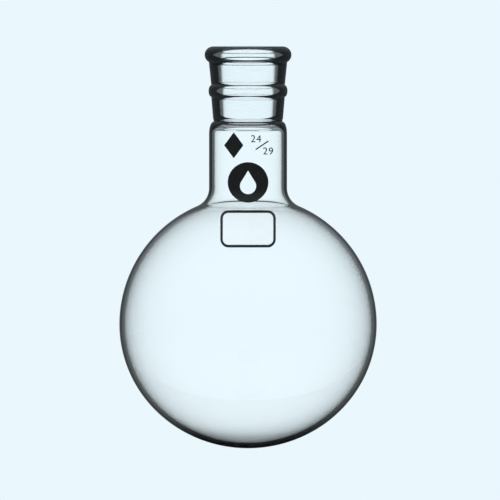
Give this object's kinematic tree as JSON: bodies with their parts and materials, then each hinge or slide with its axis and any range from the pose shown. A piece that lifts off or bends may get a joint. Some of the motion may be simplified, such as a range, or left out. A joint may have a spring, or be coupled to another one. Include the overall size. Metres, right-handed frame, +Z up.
{
  "type": "round bottom flask",
  "caption": "Single-neck round bottom glass flask with a beaded ground conical socket at the mouth and fired enamel marks on the front.",
  "frame": {"origin": "the lowest point of the bulb, on the flask's axis", "axes": "+Z up along the flask's axis towards the mouth, the enamel marks face -Y"},
  "size_m": [0.105, 0.105, 0.164],
  "materials": {
    "clear_glass": "clear fire-polished borosilicate glass, with the bore of the socket ground to an even frost",
    "white_enamel": "thin fired white enamel, matt enough to take pencil",
    "dark_enamel": "thin fired black enamel, semi-gloss"
  },
  "bodies": {
    "root": {"flask_body": "clear_glass", "ground_joint_socket": "clear_glass", "writing_field": "white_enamel", "writing_field_border": "dark_enamel", "round_badge": "dark_enamel", "lozenge_mark": "dark_enamel", "size_bore_digit_1": "dark_enamel", "size_bore_digit_2": "dark_enamel", "size_slash": "dark_enamel", "size_length_digit_1": "dark_enamel", "size_length_digit_2": "dark_enamel"}
  },
  "joints": []
}
